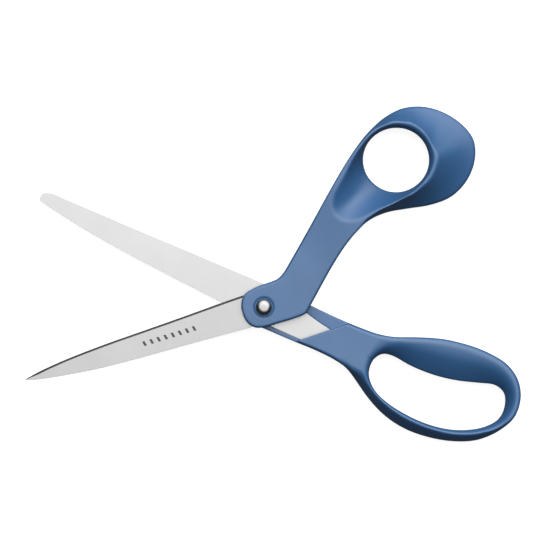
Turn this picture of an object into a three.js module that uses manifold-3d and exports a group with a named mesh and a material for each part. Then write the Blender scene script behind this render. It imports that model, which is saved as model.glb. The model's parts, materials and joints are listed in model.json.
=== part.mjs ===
// Bent-handle office scissors, 8 inch class, lying flat and open. Millimetres, +Z up.
//
// The origin is on the pivot axis, in the plane the scissors rest on. +X runs along the middle of
// the open mouth, from the tips towards the handles. Each half is modelled closed, with its blade
// along -X and heights counted from the plane where the two blades meet, and is then turned about
// the pivot by half of the opening angle.
import * as THREE from "three";
import { mergeVertices } from "three/addons/utils/BufferGeometryUtils.js";
import Module from "manifold-3d";

const wasm = await Module();
wasm.setup();

// ---- Driving dimensions ----
const HALF_OPEN = THREE.MathUtils.degToRad(21.25); // each half's turn from closed
const LOOP_HEIGHT = 7.5; // meeting plane to the crest of a loop, front and back
const FACE_HEIGHT = 5.55; // meeting plane to the flat of a boss and shank
const RAMP_START = 25; // distance from the pivot where the flat begins to rise to the loop
const RAMP_END = 62;
const BLADE_THICKNESS = 1.7;
const BLADE_GAP = 0.05; // meeting plane to the inner face of a blade
const EDGE_LAND = 0.3; // height of the cutting edge below the start of its bevel
const LAP_GAP = 0.15; // meeting plane to the plastic where one handle slides over the other
const TANG_FIT = 0.2; // room round a tang in its handle
const CHAMFER = 0.7; // broken edge round a handle
const BOLT_RADIUS = 2.5;
const BOLT_FLAT = 2.1; // axis to each of the two flats that key the bolt to the thumb half
const BOLT_FIT = 0.08; // radial room round the bolt
const HEAD_RADIUS = 3.3;
const HEAD_RECESS_RADIUS = 4.55;
const HEAD_RECESS_DEPTH = 1.1;
const THREAD_RADIUS = 1.6;
const NUT_RADIUS = 4.0;
const NUT_RECESS_RADIUS = 4.6;
const NUT_RECESS_DEPTH = 1.65;
const WASHER_THICKNESS = 0.5;
const WASHER_RADIUS = 4.2;
const WAVE_THICKNESS = 0.24;
const SEAT_GAP = 0.05; // between pieces stacked on the bolt
const BIG = 200; // reaches past the whole object
const JOIN = 0.3; // how far solids that are joined run into each other
const FLARE = 1.5; // how much wider a loop's cutter is where it ends, above and below the loop
const FLARE_DEPTH = 2;

// ---- Colours ----
const PLASTIC_BLUE = new THREE.MeshStandardMaterial({ color: 0x5b7cab, roughness: 0.42, metalness: 0 });
const BLADE_STEEL = new THREE.MeshStandardMaterial({ color: 0xc9cacb, roughness: 0.32, metalness: 1 });
const BRIGHT_STEEL = new THREE.MeshStandardMaterial({ color: 0xd8d9db, roughness: 0.14, metalness: 1 });
const SPRING_STEEL = new THREE.MeshStandardMaterial({ color: 0x8d8f92, roughness: 0.35, metalness: 1 });

// ---- Outlines, counter-clockwise, each in its own half's closed frame ----
// Handle rows: x, y, then how far the outline draws in at the front crest and at the back crest.
const THUMB_OUTLINE = [
  [-9.3, 0.3, 0, 0], [-8.6, -3.9, 0, 0], [-6.2, -6.9, 0, 0], [-2.5, -8.1, 0, 0],
  [4, -8.2, 0, 0], [11, -8.2, 0, 0], [15.7, -7.6, 0, 0], [18.6, -5, 0, 0],
  [24, 0.3, 0, 0], [31, 7.1, 0, 0], [39, 14.1, 0, 0], [45.7, 18.6, 0, 0],
  [51.6, 21.3, 0.4, 0], [59, 22.3, 1, 0], [68, 21.3, 3.4, 0], [77, 20.1, 7, 0],
  [86, 20.8, 11.3, 0], [93.5, 25, 13.2, 0], [99, 32, 13.9, 0], [101, 40, 13.8, 0],
  [98.8, 46.8, 12.5, 0], [93.8, 54, 10.2, 0], [86.5, 59, 6.6, 0], [78, 61.1, 3.4, 0],
  [69, 60, 1.5, 0.8], [60, 55.5, 0.6, 1.2], [50, 47.6, 0.2, 0.5], [40, 38.3, 0, 0],
  [28, 26.8, 0, 0], [16, 15.4, 0, 0], [11.6, 11.4, 0, 0], [8.6, 9.7, 0, 0],
  [4, 9.3, 0, 0], [-1.5, 9, 0, 0], [-6.5, 7.3, 0, 0], [-8.7, 4.1, 0, 0],
];
const FINGER_OUTLINE = [
  [-9.3, -0.3, 0, 0], [-8.5, -4.2, 0, 0], [-5.8, -7, 0, 0], [-1.5, -8.1, 0, 0],
  [6, -7.9, 0, 0], [16, -7.5, 0, 0], [27, -6.9, 0, 0], [36, -7.1, 0, 0],
  [41, -8.2, 0, 0], [47, -11.2, 0.8, 0], [54, -15, 2, 0], [63, -18.5, 3, 0],
  [73, -19.9, 3.4, 0], [84, -18.7, 3, 0], [94, -15.6, 2.5, 0], [102, -11, 1.9, 0],
  [108, -4, 0.8, 0], [111.1, 3.5, 0.2, 1], [110.2, 11.5, 0, 2.4], [106.3, 18, 0, 4.2],
  [99.5, 22.3, 0, 6.8], [90, 23.5, 0, 9], [80, 22.6, 0, 10.2], [70, 20.2, 0, 9.2],
  [60, 15.9, 0, 6], [53.5, 12.7, 0, 2.5], [47, 10.6, 0, 0.6], [38, 9.6, 0, 0],
  [26, 9.2, 0, 0], [12, 9.2, 0, 0], [3, 9.3, 0, 0], [-3.5, 8.4, 0, 0], [-7.7, 5.2, 0, 0],
];

const ellipse = (x, y, radiusX, radiusY, count = 12) =>
  Array.from({ length: count }, (_, i) => {
    const angle = (i / count) * 2 * Math.PI;
    return [x + radiusX * Math.cos(angle), y + radiusY * Math.sin(angle)];
  });

// The way through each loop: its rim at the front, its narrowest ring, and its rim at the back.
const THUMB_WAY = {
  centre: [68.7, 41.5],
  front: [
    [38.2, 29.5], [39.3, 26.2], [42.5, 23.4], [47.5, 22.7], [53, 23.8], [60, 24.8], [67, 25.9],
    [74, 28.3], [80.3, 32.6], [84.1, 38], [85.2, 43.3], [84.2, 48.8], [80.6, 53.9], [75, 56.6],
    [69, 57], [63.5, 55.4], [58, 51.9], [52, 46.6], [46.5, 41], [42, 36.6], [39.3, 33.2],
  ],
  waist: ellipse(68.7, 41.5, 13.4, 12.9),
  back: [
    [54.5, 42], [56, 35], [60, 30.4], [65.5, 27.8], [72, 26.2], [80, 25.7], [88, 28.6],
    [94, 34], [96.4, 41], [94.6, 47.8], [90, 53.6], [83, 57], [75, 57.4], [68, 56],
    [61, 52.6], [56.3, 48],
  ],
  waistMiddle: -0.6, // height of the narrowest ring, halfway between its two extremes
  waistSwing: 4, // how far it tilts up on the flared side and down on the scooped side
  highSide: THREE.MathUtils.degToRad(20),
};
const FINGER_WAY = {
  centre: [78, 0],
  front: [
    [47.2, -1], [48.3, -5.6], [52, -9.9], [60, -13.2], [70, -14.9], [80, -14.8], [89, -13.2],
    [97, -10], [103.5, -5.9], [108, -0.8], [109.4, 5.5], [108.3, 11.7], [104.6, 16.9],
    [98.8, 20.5], [90, 21.8], [80, 21], [70, 18.7], [60, 14.5], [54, 11.3], [50, 7.6], [48, 3.4],
  ],
  waist: [
    [49.3, -1.6], [50.4, -6.2], [54.4, -10.3], [61, -12.9], [70, -14.1], [80, -13.9], [88.8, -12.1],
    [96.1, -8.9], [102, -4.5], [105.4, 0.5], [105.4, 6], [102.9, 10.7], [98.2, 12.1],
    [92.3, 10.3], [83.2, 7.1], [74, 5.1], [64, 4.4], [56, 4.8], [52.2, 3.9], [50.2, 1.8],
  ],
  back: [
    [47.4, -1], [48.6, -6.5], [53, -12], [61, -15.6], [71, -17], [81, -16.6], [91, -14],
    [99, -9.6], [104.6, -4], [106.8, 2], [106, 8], [103, 12], [98, 13.6], [91, 12.2], [83, 9],
    [74, 6.6], [64, 5.9], [56.5, 6.4], [51.5, 5.4], [48.6, 2.5],
  ],
  waistMiddle: -0.2,
  waistSwing: 1,
  highSide: THREE.MathUtils.degToRad(-90),
};

// Blade rows: x, y, then the width of the ground bevel there. Each ends in the tang that its handle holds.
const BEVEL = 0.65;
const THUMB_BLADE_OUTLINE = [
  [-101, 0, 0.1], [-99.2, -0.7, 0], [-95, -1.6, 0], [-88, -2.6, 0], [-80, -3.5, 0],
  [-70, -4.4, 0], [-60, -4.9, 0], [-45, -5.3, 0], [-30, -5.6, 0], [-15, -6.05, 0],
  [0, -6.3, 0], [7, -5.6, 0], [12.5, -2.8, 0], [18.5, 2.8, 0], [33, 16.7, 0],
  [35.4, 20.2, 0], [33.2, 23, 0], [29.5, 22.2, 0], [17, 10.4, 0], [11.5, 7.4, 0],
  [6, 6.9, 0], [-2, 7.1, 0], [-7, 7.05, BEVEL], [-18, 6.6, BEVEL], [-34, 5.8, BEVEL],
  [-50, 5.1, BEVEL], [-66, 4.4, BEVEL], [-80, 3.4, BEVEL], [-89, 2.4, BEVEL],
  [-95.5, 1.4, BEVEL], [-99.3, 0.55, 0.4],
];
const FINGER_BLADE_OUTLINE = [
  [-101.2, 1.2, 0.1], [-100.6, -0.2, 0.4], [-98, -0.8, BEVEL], [-90, -1.8, BEVEL],
  [-80, -2.9, BEVEL], [-68, -3.8, BEVEL], [-54, -4.5, BEVEL], [-38, -5, BEVEL],
  [-20, -5.5, BEVEL], [-8, -5.7, BEVEL], [-2, -5.75, 0], [8, -5.6, 0], [22, -5.2, 0],
  [38, -4.4, 0], [44, -3.2, 0], [45.8, -0.2, 0], [43.5, 2.4, 0], [36, 3, 0], [26.5, 3.7, 0],
  [17, 5.3, 0], [9, 7.3, 0], [2, 8.3, 0], [-6, 8.5, 0], [-20, 7.9, 0], [-40, 7, 0],
  [-60, 6, 0], [-78, 5.3, 0], [-91, 4.7, 0], [-98.2, 4.3, 0], [-100.6, 3, 0],
];

// Where one handle steps down to pass over the other. Closed, each step meets the other's edge.
const THUMB_STEP_Y = 9.7;
const FINGER_STEP_POINT = new THREE.Vector2(18.85, -5.15);
const FINGER_STEP_ANGLE = THREE.MathUtils.degToRad(44.3);

// ---- Geometry helpers ----
// A closed skin through a stack of equal-length counter-clockwise rings, capped at both ends.
function loft(rings) {
  const count = rings[0].length;
  const positions = rings.flat().flatMap((p) => [p.x, p.y, p.z]);
  const index = [];
  for (let level = 0; level + 1 < rings.length; level++) {
    for (let i = 0; i < count; i++) {
      const a = level * count + i;
      const b = level * count + ((i + 1) % count);
      index.push(a, b, b + count, a, b + count, a + count);
    }
  }
  const cap = (ring) => THREE.ShapeUtils.triangulateShape(ring.map((p) => new THREE.Vector2(p.x, p.y)), []);
  const top = (rings.length - 1) * count;
  for (const [a, b, c] of cap(rings[0])) index.push(c, b, a);
  for (const [a, b, c] of cap(rings.at(-1))) index.push(top + a, top + b, top + c);
  const geometry = new THREE.BufferGeometry();
  geometry.setAttribute("position", new THREE.Float32BufferAttribute(positions, 3));
  geometry.setIndex(index);
  return geometry;
}

// A ring-shaped skin through closed sections, one at each angle round the Z axis.
function ringOf(sections) {
  const around = sections.length;
  const across = sections[0].length;
  const positions = sections.flat().flatMap((p) => [p.x, p.y, p.z]);
  const index = [];
  for (let i = 0; i < around; i++) {
    for (let j = 0; j < across; j++) {
      const a = i * across + j;
      const b = i * across + ((j + 1) % across);
      const c = ((i + 1) % around) * across + j;
      const d = ((i + 1) % around) * across + ((j + 1) % across);
      index.push(a, c, d, a, d, b);
    }
  }
  const geometry = new THREE.BufferGeometry();
  geometry.setAttribute("position", new THREE.Float32BufferAttribute(positions, 3));
  geometry.setIndex(index);
  return geometry;
}

// A solid of revolution about Z through (radius, height) points.
function turned(profile, segments = 48) {
  const points = profile.map(([radius, height]) => new THREE.Vector2(radius, height));
  return new THREE.LatheGeometry(points, segments).rotateX(Math.PI / 2);
}

const cylinder = (radius, low, high, segments = 48) =>
  turned([[0, low], [radius, low], [radius, high], [0, high]], segments);

const box = (x0, x1, y0, y1, z0, z1) =>
  new THREE.BoxGeometry(x1 - x0, y1 - y0, z1 - z0).translate((x0 + x1) / 2, (y0 + y1) / 2, (z0 + z1) / 2);

// A geometry as a manifold-3d solid, and back.
function solidOf(geometry) {
  const bare = geometry.clone();
  bare.deleteAttribute("normal");
  bare.deleteAttribute("uv");
  const merged = mergeVertices(bare, 1e-4);
  return new wasm.Manifold(
    new wasm.Mesh({
      numProp: 3,
      vertProperties: merged.attributes.position.array,
      triVerts: new Uint32Array(merged.index.array),
    }),
  );
}

function geometryOf(solid) {
  const mesh = solid.getMesh();
  const geometry = new THREE.BufferGeometry();
  geometry.setAttribute("position", new THREE.BufferAttribute(mesh.vertProperties, 3));
  geometry.setIndex(new THREE.BufferAttribute(mesh.triVerts, 1));
  return geometry.toNonIndexed();
}

// A cylinder along Z with two flats, at equal distances from its axis.
const keyed = (radius, flat, low, high) =>
  geometryOf(solidOf(cylinder(radius, low, high)).intersect(solidOf(box(-BIG, BIG, -flat, flat, low, high))));

const keyedHole = () => keyed(BOLT_RADIUS + BOLT_FIT, BOLT_FLAT + BOLT_FIT, -BIG, BIG);
const roundHole = () => cylinder(BOLT_RADIUS + BOLT_FIT, -BIG, BIG);

const cutFrom = (geometry, ...cutters) =>
  geometryOf(cutters.reduce((solid, cutter) => solid.subtract(solidOf(cutter)), solidOf(geometry)));

// Points along a closed outline, each with its inward normal and the row's further values.
function sampled(rows, perRow) {
  const count = rows.length * perRow;
  const path = new THREE.CatmullRomCurve3(rows.map(([x, y]) => new THREE.Vector3(x, y, 0)), true, "centripetal");
  const values = new THREE.CatmullRomCurve3(
    rows.map((row) => new THREE.Vector3(row[2] ?? 0, row[3] ?? 0, 0)), true, "catmullrom", 0.5,
  );
  return Array.from({ length: count }, (_, i) => {
    const at = path.getPoint(i / count);
    const along = path.getTangent(i / count);
    const value = values.getPoint(i / count);
    return { at, inward: new THREE.Vector3(-along.y, along.x, 0), first: Math.max(0, value.x), second: Math.max(0, value.y) };
  });
}

// Distance from a centre to a closed polygon in a given direction.
function reach(polygon, centre, angle) {
  const direction = new THREE.Vector2(Math.cos(angle), Math.sin(angle));
  let best = 0;
  polygon.forEach((from, i) => {
    const to = polygon[(i + 1) % polygon.length];
    const side = new THREE.Vector2(to.x - from.x, to.y - from.y);
    const start = new THREE.Vector2(from.x - centre[0], from.y - centre[1]);
    const turn = direction.cross(side);
    if (Math.abs(turn) < 1e-9) return;
    const along = start.cross(side) / turn;
    const share = start.cross(direction) / turn;
    if (share >= 0 && share <= 1) best = Math.max(best, along);
  });
  return best;
}

// ---- Handles ----
const crestHeight = (x, y) =>
  FACE_HEIGHT + (LOOP_HEIGHT - FACE_HEIGHT) * THREE.MathUtils.smoothstep(Math.hypot(x, y), RAMP_START, RAMP_END);

// The outer skin: upright at the shank, leaning in towards the front or back crest round the loop.
function handleSkin(outline) {
  const edgeShare = CHAMFER / (2 * LOOP_HEIGHT);
  const levels = [0, edgeShare, 0.17, 0.5, 0.83, 1 - edgeShare, 1];
  const lean = (share) => Math.max(0, (share - 0.17) / 0.83);
  const rows = sampled(outline, 4);
  return loft(
    levels.map((share) =>
      rows.map(({ at, inward, first, second }) => {
        const broken = share === 0 || share === 1 ? CHAMFER : 0;
        const draw = first * lean(share) + second * lean(1 - share) + broken;
        const point = at.clone().addScaledVector(inward, draw);
        point.z = (2 * share - 1) * crestHeight(at.x, at.y);
        return point;
      }),
    ),
  );
}

// The way through a loop, from past its back rim to past its front rim, waisted where it is narrowest.
function wayThrough(way) {
  const steps = 88;
  const polygons = [way.back, way.waist, way.front].map((rows) => sampled(rows, 8).map(({ at }) => at));
  const ringAt = (heightOf, radiusOf) =>
    Array.from({ length: steps }, (_, i) => {
      const angle = (i / steps) * 2 * Math.PI;
      const [back, waist, front] = polygons.map((polygon) => reach(polygon, way.centre, angle));
      const radius = radiusOf(back, waist, front);
      const x = way.centre[0] + radius * Math.cos(angle);
      const y = way.centre[1] + radius * Math.sin(angle);
      const waistHeight = way.waistMiddle + way.waistSwing * Math.cos(angle - way.highSide);
      return new THREE.Vector3(x, y, heightOf(waistHeight, crestHeight(x, y)));
    });
  return loft([
    ringAt(() => -LOOP_HEIGHT - FLARE_DEPTH, (back) => back + FLARE),
    ringAt((waist, crest) => -crest, (back) => back),
    ringAt((waist, crest) => (waist - crest) / 2, (back, waist) => 0.35 * back + 0.65 * waist),
    ringAt((waist) => waist, (back, waist) => waist),
    ringAt((waist, crest) => (waist + crest) / 2, (back, waist, front) => 0.65 * waist + 0.35 * front),
    ringAt((waist, crest) => crest, (back, waist, front) => front),
    ringAt(() => LOOP_HEIGHT + FLARE_DEPTH, (back, waist, front) => front + FLARE),
  ]);
}

// A blade and tang from its inner face at height 0 to its outer face, with the cutting edge ground.
function bladeBlank(outline) {
  const rows = sampled(outline, 5);
  const ring = (height, ground) =>
    rows.map(({ at, inward, first }) => at.clone().addScaledVector(inward, ground * first).setZ(height));
  return loft([ring(0, 0), ring(EDGE_LAND, 0), ring(BLADE_THICKNESS, 1)]);
}

// The space a tang takes in its handle, from the lap face up.
function tangSlot(outline) {
  const rows = sampled(outline, 5);
  const ring = (height) => rows.map(({ at, inward }) => at.clone().addScaledVector(inward, -TANG_FIT).setZ(height));
  return loft([ring(-1), ring(BLADE_GAP + BLADE_THICKNESS + SEAT_GAP)]);
}

// Everything on the far side of the finger handle's slanting step.
function fingerLap() {
  const along = new THREE.Vector2(Math.cos(FINGER_STEP_ANGLE), Math.sin(FINGER_STEP_ANGLE));
  const left = new THREE.Vector2(-along.y, along.x);
  const corner = (a, b) => FINGER_STEP_POINT.clone().addScaledVector(along, a).addScaledVector(left, b);
  const shape = new THREE.Shape([corner(-BIG, 0), corner(BIG, 0), corner(BIG, BIG), corner(-BIG, BIG)]);
  return new THREE.ExtrudeGeometry(shape, { depth: BIG, bevelEnabled: false }).translate(0, 0, -LAP_GAP);
}

// The same shape below the meeting plane, with its faces turned outwards again.
const underside = (geometry) => {
  const flipped = geometry.index ? geometry.toNonIndexed() : geometry.clone();
  flipped.scale(1, 1, -1);
  const at = flipped.attributes.position;
  for (let i = 0; i < at.count; i += 3) {
    const [x, y, z] = [at.getX(i), at.getY(i), at.getZ(i)];
    at.setXYZ(i, at.getX(i + 1), at.getY(i + 1), at.getZ(i + 1));
    at.setXYZ(i + 1, x, y, z);
  }
  return flipped;
};

// ---- The pieces ----
function thumbHandle() {
  return cutFrom(
    handleSkin(THUMB_OUTLINE),
    wayThrough(THUMB_WAY),
    box(-BIG, BIG, -BIG, THUMB_STEP_Y, -BIG, LAP_GAP),
    tangSlot(THUMB_BLADE_OUTLINE),
    keyedHole(),
    cylinder(HEAD_RECESS_RADIUS, FACE_HEIGHT - HEAD_RECESS_DEPTH, BIG),
  );
}

function fingerHandle() {
  return cutFrom(
    handleSkin(FINGER_OUTLINE),
    wayThrough(FINGER_WAY),
    fingerLap(),
    underside(tangSlot(FINGER_BLADE_OUTLINE)),
    roundHole(),
    cylinder(NUT_RECESS_RADIUS, -BIG, -(FACE_HEIGHT - NUT_RECESS_DEPTH)),
  );
}

function thumbBlade() {
  return cutFrom(bladeBlank(THUMB_BLADE_OUTLINE).translate(0, 0, BLADE_GAP), keyedHole());
}

function fingerBlade() {
  return cutFrom(underside(bladeBlank(FINGER_BLADE_OUTLINE).translate(0, 0, BLADE_GAP)), roundHole());
}

// Heights of the stack on the bolt, counted from the meeting plane.
const HEAD_SEAT = FACE_HEIGHT - HEAD_RECESS_DEPTH + SEAT_GAP;
const WASHER_TOP = -(FACE_HEIGHT - NUT_RECESS_DEPTH) - SEAT_GAP;
const WAVE_TOP = WASHER_TOP - WASHER_THICKNESS - SEAT_GAP;
const NUT_TOP = WAVE_TOP - WASHER_THICKNESS - SEAT_GAP;
const SHOULDER_END = NUT_TOP + SEAT_GAP;
const THREAD_END = -LOOP_HEIGHT + 0.65;

function pivotBolt() {
  const rim = HEAD_SEAT + 0.5;
  const rise = LOOP_HEIGHT - rim;
  const sphere = (HEAD_RADIUS ** 2 + rise ** 2) / (2 * rise);
  const dome = Array.from({ length: 10 }, (_, i) => {
    const radius = HEAD_RADIUS * Math.cos((i / 9) * (Math.PI / 2));
    return [radius, LOOP_HEIGHT - sphere + Math.sqrt(sphere ** 2 - radius ** 2)];
  });
  const headAndCore = turned([
    [0, THREAD_END], [THREAD_RADIUS - 0.4, THREAD_END], [THREAD_RADIUS, THREAD_END + 0.4],
    [THREAD_RADIUS, HEAD_SEAT], [HEAD_RADIUS, HEAD_SEAT], ...dome,
  ]);
  const shank = cylinder(BOLT_RADIUS, SHOULDER_END, 0);
  const neck = keyed(BOLT_RADIUS, BOLT_FLAT, -JOIN, HEAD_SEAT + JOIN);
  return geometryOf(solidOf(headAndCore).add(solidOf(shank)).add(solidOf(neck)));
}

function pivotNut() {
  const chamfer = 0.5;
  const bore = THREAD_RADIUS + SEAT_GAP;
  const body = turned([
    [0, -LOOP_HEIGHT], [NUT_RADIUS - chamfer, -LOOP_HEIGHT], [NUT_RADIUS, -LOOP_HEIGHT + chamfer],
    [NUT_RADIUS, NUT_TOP], [bore, NUT_TOP], [bore, THREAD_END - SEAT_GAP], [0, THREAD_END - SEAT_GAP],
  ]);
  const spannerHole = (x) => cylinder(0.5, -LOOP_HEIGHT - 1, -LOOP_HEIGHT + 1.1, 20).translate(x, 0, 0);
  return cutFrom(body, spannerHole(-2.4), spannerHole(2.4));
}

function flatWasher() {
  const inner = BOLT_RADIUS + BOLT_FIT;
  const low = WASHER_TOP - WASHER_THICKNESS;
  return turned([[inner, low], [WASHER_RADIUS, low], [WASHER_RADIUS, WASHER_TOP], [inner, WASHER_TOP], [inner, low]]);
}

function waveWasher() {
  const inner = BOLT_RADIUS + BOLT_FIT;
  const outer = NUT_RADIUS - 0.1;
  const swing = (WASHER_THICKNESS - WAVE_THICKNESS) / 2;
  const middle = WAVE_TOP - WASHER_THICKNESS / 2;
  return ringOf(
    Array.from({ length: 60 }, (_, i) => {
      const angle = (i / 60) * 2 * Math.PI;
      const height = middle + swing * Math.cos(3 * angle);
      const corner = (radius, rise) =>
        new THREE.Vector3(radius * Math.cos(angle), radius * Math.sin(angle), height + rise);
      const half = WAVE_THICKNESS / 2;
      return [corner(inner, -half), corner(outer, -half), corner(outer, half), corner(inner, half)];
    }),
  );
}

// ---- Assembly ----
function piece(name, geometry, material) {
  const mesh = new THREE.Mesh(geometry, material);
  mesh.name = name;
  return mesh;
}

// One half of the scissors, turned open about the pivot and raised to the meeting plane.
function half(turn, ...pieces) {
  const group = new THREE.Group();
  group.rotation.z = turn;
  group.position.z = LOOP_HEIGHT;
  group.add(...pieces);
  return group;
}

const scissors = new THREE.Group();
scissors.add(
  half(
    HALF_OPEN,
    piece("thumb_handle", thumbHandle(), PLASTIC_BLUE),
    piece("thumb_blade", thumbBlade(), BLADE_STEEL),
    piece("pivot_bolt", pivotBolt(), BRIGHT_STEEL),
    piece("pivot_nut", pivotNut(), BRIGHT_STEEL),
    piece("wave_washer", waveWasher(), SPRING_STEEL),
    piece("flat_washer", flatWasher(), SPRING_STEEL),
  ),
  half(
    -HALF_OPEN,
    piece("finger_handle", fingerHandle(), PLASTIC_BLUE),
    piece("finger_blade", fingerBlade(), BLADE_STEEL),
  ),
);

export default scissors;
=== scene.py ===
# The looks of the office scissors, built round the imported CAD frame.
#
# Pieces are shaped in millimetres, closed, with the pivot at (0, 0) and the blade along -X, as the CAD
# halves are. Each half is then turned open about the pivot and scaled to metres.
import json
import math

import bpy
import numpy as np
from mathutils import Matrix, Vector
from mathutils.geometry import tessellate_polygon


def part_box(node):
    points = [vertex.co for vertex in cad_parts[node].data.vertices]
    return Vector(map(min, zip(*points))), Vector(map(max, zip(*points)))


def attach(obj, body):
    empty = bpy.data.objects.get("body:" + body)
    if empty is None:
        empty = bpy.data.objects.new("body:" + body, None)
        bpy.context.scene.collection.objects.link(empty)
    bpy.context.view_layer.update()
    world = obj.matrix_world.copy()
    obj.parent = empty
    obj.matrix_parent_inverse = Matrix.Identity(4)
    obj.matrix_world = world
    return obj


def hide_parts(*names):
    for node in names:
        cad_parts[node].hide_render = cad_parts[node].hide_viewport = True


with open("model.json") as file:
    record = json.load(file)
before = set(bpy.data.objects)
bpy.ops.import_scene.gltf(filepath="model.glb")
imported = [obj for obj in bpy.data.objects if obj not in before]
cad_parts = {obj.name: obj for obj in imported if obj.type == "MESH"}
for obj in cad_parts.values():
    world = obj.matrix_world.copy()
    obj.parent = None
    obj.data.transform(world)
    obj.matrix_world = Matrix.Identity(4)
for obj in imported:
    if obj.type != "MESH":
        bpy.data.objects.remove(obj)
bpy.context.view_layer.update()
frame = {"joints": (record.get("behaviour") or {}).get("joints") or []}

MM = 0.001  # a millimetre in metres

# ---- What the frame says, in millimetres, heights counted from the plane where the blades meet ----
def lowest_and_highest(node):
    """A node's lowest and highest point, from the floor."""
    return [corner[2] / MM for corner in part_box(node)]


HALF_OPEN = math.radians(-frame["joints"][0]["range_deg"][0] / 2)  # each half's turn from closed
MIDDLE = lowest_and_highest("thumb_handle")[1] / 2  # height of the meeting plane above the floor
LOOP_HEIGHT = MIDDLE  # meeting plane to the crest of a loop, front and back


def heights(node):
    """A node's lowest and highest point, from the meeting plane."""
    low, high = lowest_and_highest(node)
    return low - MIDDLE, high - MIDDLE


BLADE_NEAR, BLADE_FAR = heights("thumb_blade")
BOLT_END, BOLT_TOP = heights("pivot_bolt")
NUT_FACE, NUT_TOP = heights("pivot_nut")
FLAT_LOW, FLAT_TOP = heights("flat_washer")
WAVE_LOW, WAVE_TOP = heights("wave_washer")

# ---- Driving sizes of the handles ----
FACE_HEIGHT = 5.55  # flat of a boss and shank
RAMP_START = 25.0  # distance from the pivot where the flat begins to rise to the loop
RAMP_END = 62.0
LAP_GAP = 0.15  # meeting plane to the plastic where one handle slides over the other
TANG_FIT = -0.1  # room round a tang; below 0 the plastic closes on it
TANG_DEPTH = 1.8  # meeting plane to the far side of a tang's slot
SLOT_OVERRUN = 1.0  # how far the slot's cut runs past the meeting plane
BOLT_HOLE_RADIUS = 2.58
HEAD_RECESS_RADIUS = 4.3  # at the flat
HEAD_RECESS_FLOOR = 5.0
RECESS_LEAN = 1.0  # how much wider the head recess gets for each millimetre of height
NUT_RECESS_RADIUS = 4.6
NUT_RECESS_FLOOR = 3.9
GRID = 0.36  # spacing of the grid that a handle's skin is drawn on

# Handle rows: x, y, then how far the outline draws in at the front crest and at the back crest.
THUMB_OUTLINE = [
    (-9.3, 0.3, 0, 0), (-8.6, -3.9, 0, 0), (-6.2, -6.9, 0, 0), (-2.5, -8.1, 0, 0), (4, -8.2, 0, 0),
    (11, -8.2, 0, 0), (15.7, -7.6, 0, 0), (18.6, -5, 0, 0), (24, 0.3, 0, 0), (31, 7.1, 0, 0),
    (39, 14.1, 0, 0), (45.7, 18.6, 0, 0), (51.6, 21.3, 1, 0), (59, 22.3, 2, 0), (68, 21.3, 4.4, 0),
    (77, 20.1, 7.4, 0), (86, 20.8, 11.6, 0), (93.8, 25, 13.9, 0), (99.5, 32, 15, 0),
    (101.6, 40, 15.7, 0), (99.3, 47, 15.2, 0), (93.8, 54, 13.4, 0), (86.5, 59, 9.6, 0),
    (78, 61.1, 6, 0), (69, 60, 3.2, 0.8), (60, 55.5, 1, 1.2), (50, 47.6, 0.3, 0.5), (40, 38.3, 0, 0),
    (28, 26.8, 0, 0), (16, 15.4, 0, 0), (11.6, 11.4, 0, 0), (8.6, 9.7, 0, 0), (4, 9.3, 0, 0),
    (-1.5, 9, 0, 0), (-6.5, 7.3, 0, 0), (-8.7, 4.1, 0, 0),
]
FINGER_OUTLINE = [
    (-9.3, -0.3, 0, 0), (-8.5, -4.2, 0, 0), (-5.8, -7, 0, 0), (-1.5, -8.1, 0, 0), (6, -7.9, 0, 0),
    (16, -7.5, 0, 0), (27, -6.9, 0, 0), (36, -7.1, 0, 0), (41, -8.2, 1, 0), (47, -11.2, 3.4, 0),
    (54, -15, 4, 0), (63, -18.5, 4.5, 0), (73, -19.9, 4.8, 0), (84, -18.7, 4.4, 0),
    (94, -15.6, 3.8, 0), (102, -11, 3.4, 0), (108, -4, 2, 0), (111.1, 3.5, 1, 1),
    (110.2, 11.5, 1, 2.4), (106.3, 18, 1.3, 4.2), (99.5, 22.3, 1.5, 6.8), (90, 23.5, 1.5, 9),
    (80, 22.6, 1.4, 10.2), (70, 20.2, 1.3, 9.2), (60, 15.9, 1, 6), (53.5, 12.7, 0.6, 2.5),
    (47, 10.6, 0.2, 0.6), (38, 9.6, 0, 0), (26, 9.2, 0, 0), (12, 9.2, 0, 0), (3, 9.3, 0, 0),
    (-3.5, 8.4, 0, 0), (-7.7, 5.2, 0, 0),
]
THUMB_FRONT_RIM = [
    (38.2, 29.5), (39.3, 26.2), (42.5, 23.4), (47.5, 22.7), (53, 23.8), (60, 24.8), (67, 25.9),
    (74, 28.3), (80.1, 32.8), (83.3, 37.6), (84.2, 42), (83.1, 46.8), (79.3, 52), (73.9, 55),
    (68.7, 55.7), (63.4, 54.6), (58, 51.6), (52, 46.6), (46.5, 41), (42, 36.6), (39.3, 33.2),
]
THUMB_BACK_RIM = [
    (54.5, 42), (56, 35), (60, 30.4), (65.5, 27.8), (72, 26.2), (80, 25.7), (88, 28.6), (94, 34),
    (96.4, 41), (94.6, 47.8), (90, 53.6), (83, 57), (75, 57.4), (68, 56), (61, 52.6), (56.3, 48),
]
THUMB_HOLE_CENTRE = (68.7, 41.5)
THUMB_HOLE_RADII = (13.4, 12.9)
FINGER_FRONT_RIM = [
    (47.8, -1), (48.9, -5.8), (52.6, -9.9), (60.2, -13.2), (70, -14.9), (80, -14.8), (89, -13.2),
    (97, -10), (103.3, -5.6), (107.6, -0.6), (109.2, 5.5), (108.2, 11.7), (104.6, 16.9), (98.8, 20.5),
    (90, 21.8), (80, 21), (70, 18.7), (60, 14.5), (54, 11.3), (50.3, 7.4), (48.5, 3.3),
]
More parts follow.
